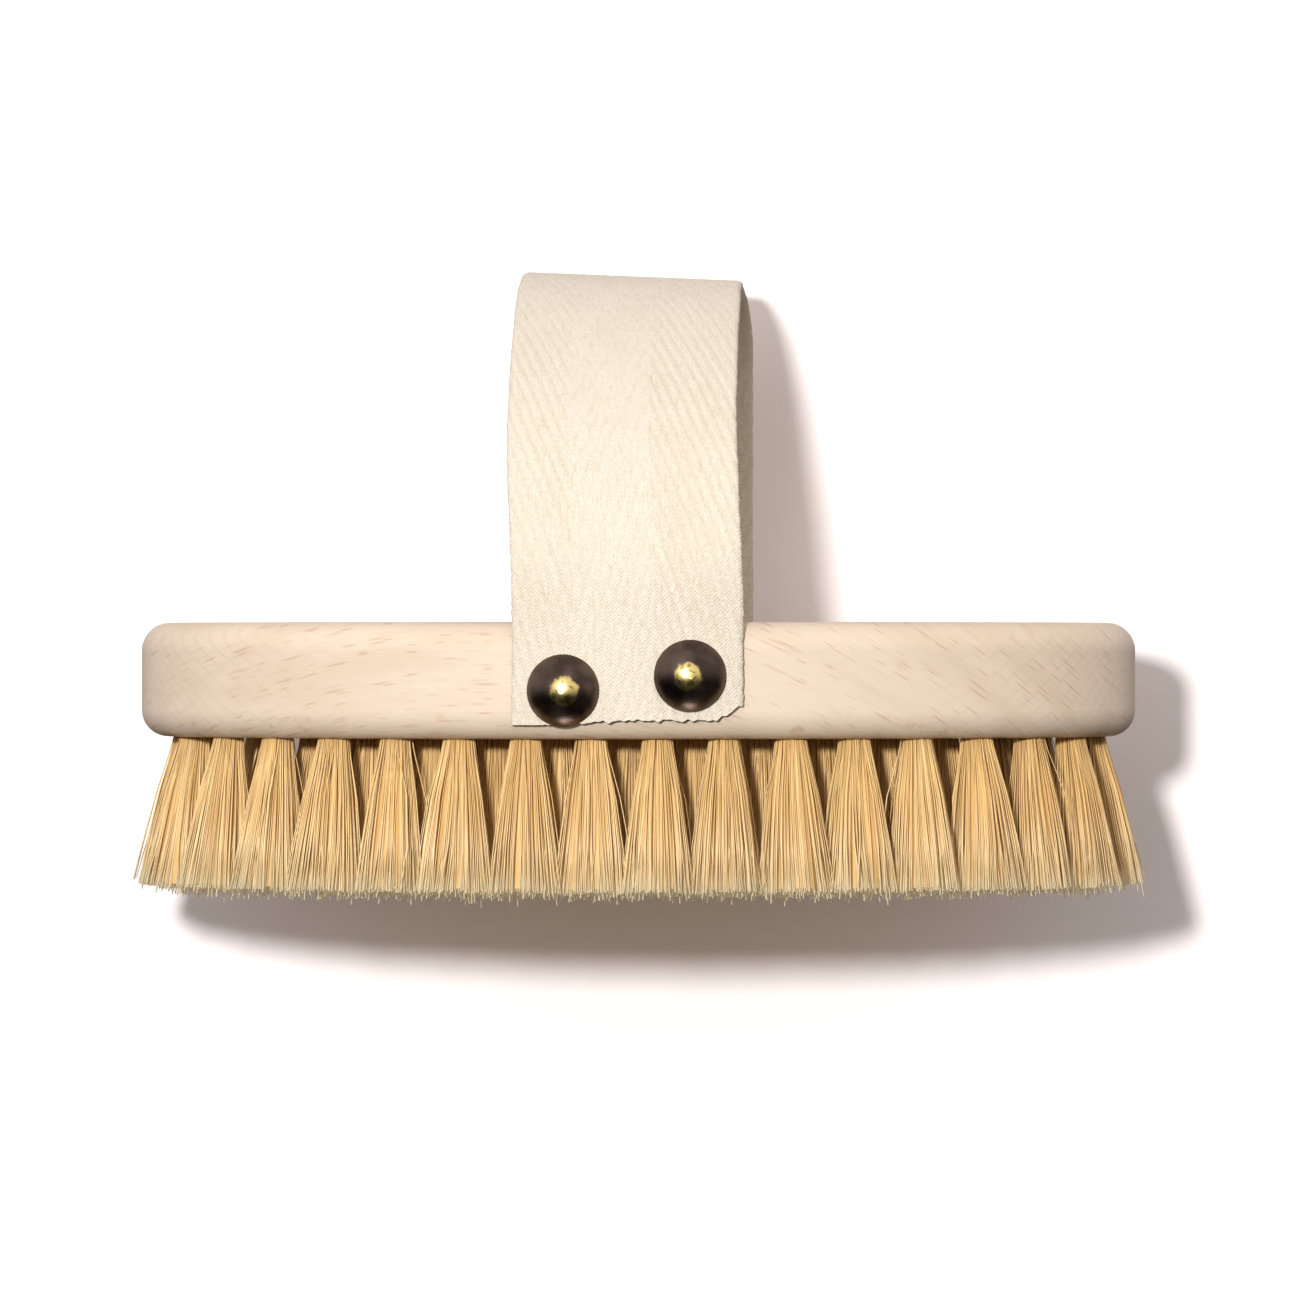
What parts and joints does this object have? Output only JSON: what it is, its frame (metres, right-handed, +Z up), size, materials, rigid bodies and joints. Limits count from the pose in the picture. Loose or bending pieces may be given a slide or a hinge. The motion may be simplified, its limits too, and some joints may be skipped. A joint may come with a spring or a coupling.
{
  "type": "body dry brush",
  "caption": "Oval beech body brush with flared tufts of plant bristle and a webbing hand loop held by domed tacks.",
  "frame": {"origin": "centre of the overall box at its base, on the plane that the bristle tips stand on", "axes": "+Z up from the bristle tips to the hand loop, +X along the block's length, -Y the front side"},
  "size_m": [0.135, 0.082, 0.0848],
  "materials": {
    "beech": "sanded, unvarnished beech with short ray flecks",
    "webbing": "natural cotton herringbone webbing, matt, slightly fuzzy edges",
    "antique_bronze": "polished dark antique bronze plating",
    "nail_steel": "plain drawn steel",
    "anchor_wire": "flat drawn wire",
    "bristle": "blonde plant fibre, satin, paler at the cut tips"
  },
  "bodies": {
    "root": {"block": "beech", "strap_front_tab": "webbing", "strap_back_tab": "webbing", "tack_cap_front_left": "antique_bronze", "tack_cap_front_right": "antique_bronze", "tack_cap_back_left": "antique_bronze", "tack_cap_back_right": "antique_bronze", "tack_nail_front_left": "nail_steel", "tack_nail_front_right": "nail_steel", "tack_nail_back_left": "nail_steel", "tack_nail_back_right": "nail_steel", "tufts_outer_ring": "bristle", "tufts_second_ring": "bristle", "tufts_third_ring": "bristle", "tufts_centre_row": "bristle", "anchors_outer_ring": "anchor_wire", "anchors_second_ring": "anchor_wire", "anchors_third_ring": "anchor_wire", "anchors_centre_row": "anchor_wire"},
    "strap_legs": {"strap_front_leg": "webbing", "strap_back_leg": "webbing"},
    "strap_crown": {"strap_crown": "webbing"}
  },
  "joints": [
    {"name": "strap_lean", "type": "hinge", "parent": "root", "child": "strap_legs", "pos_m": [-0.0002, 0, 0.028], "axis": [0, 1, 0], "range_deg": [-8, 8], "stiffness_Nm_per_rad": 0.2},
    {"name": "strap_sway", "type": "slide", "parent": "strap_legs", "child": "strap_crown", "axis": [0, 1, 0], "range_m": [-0.012, 0.012], "stiffness_N_per_m": 80}
  ]
}
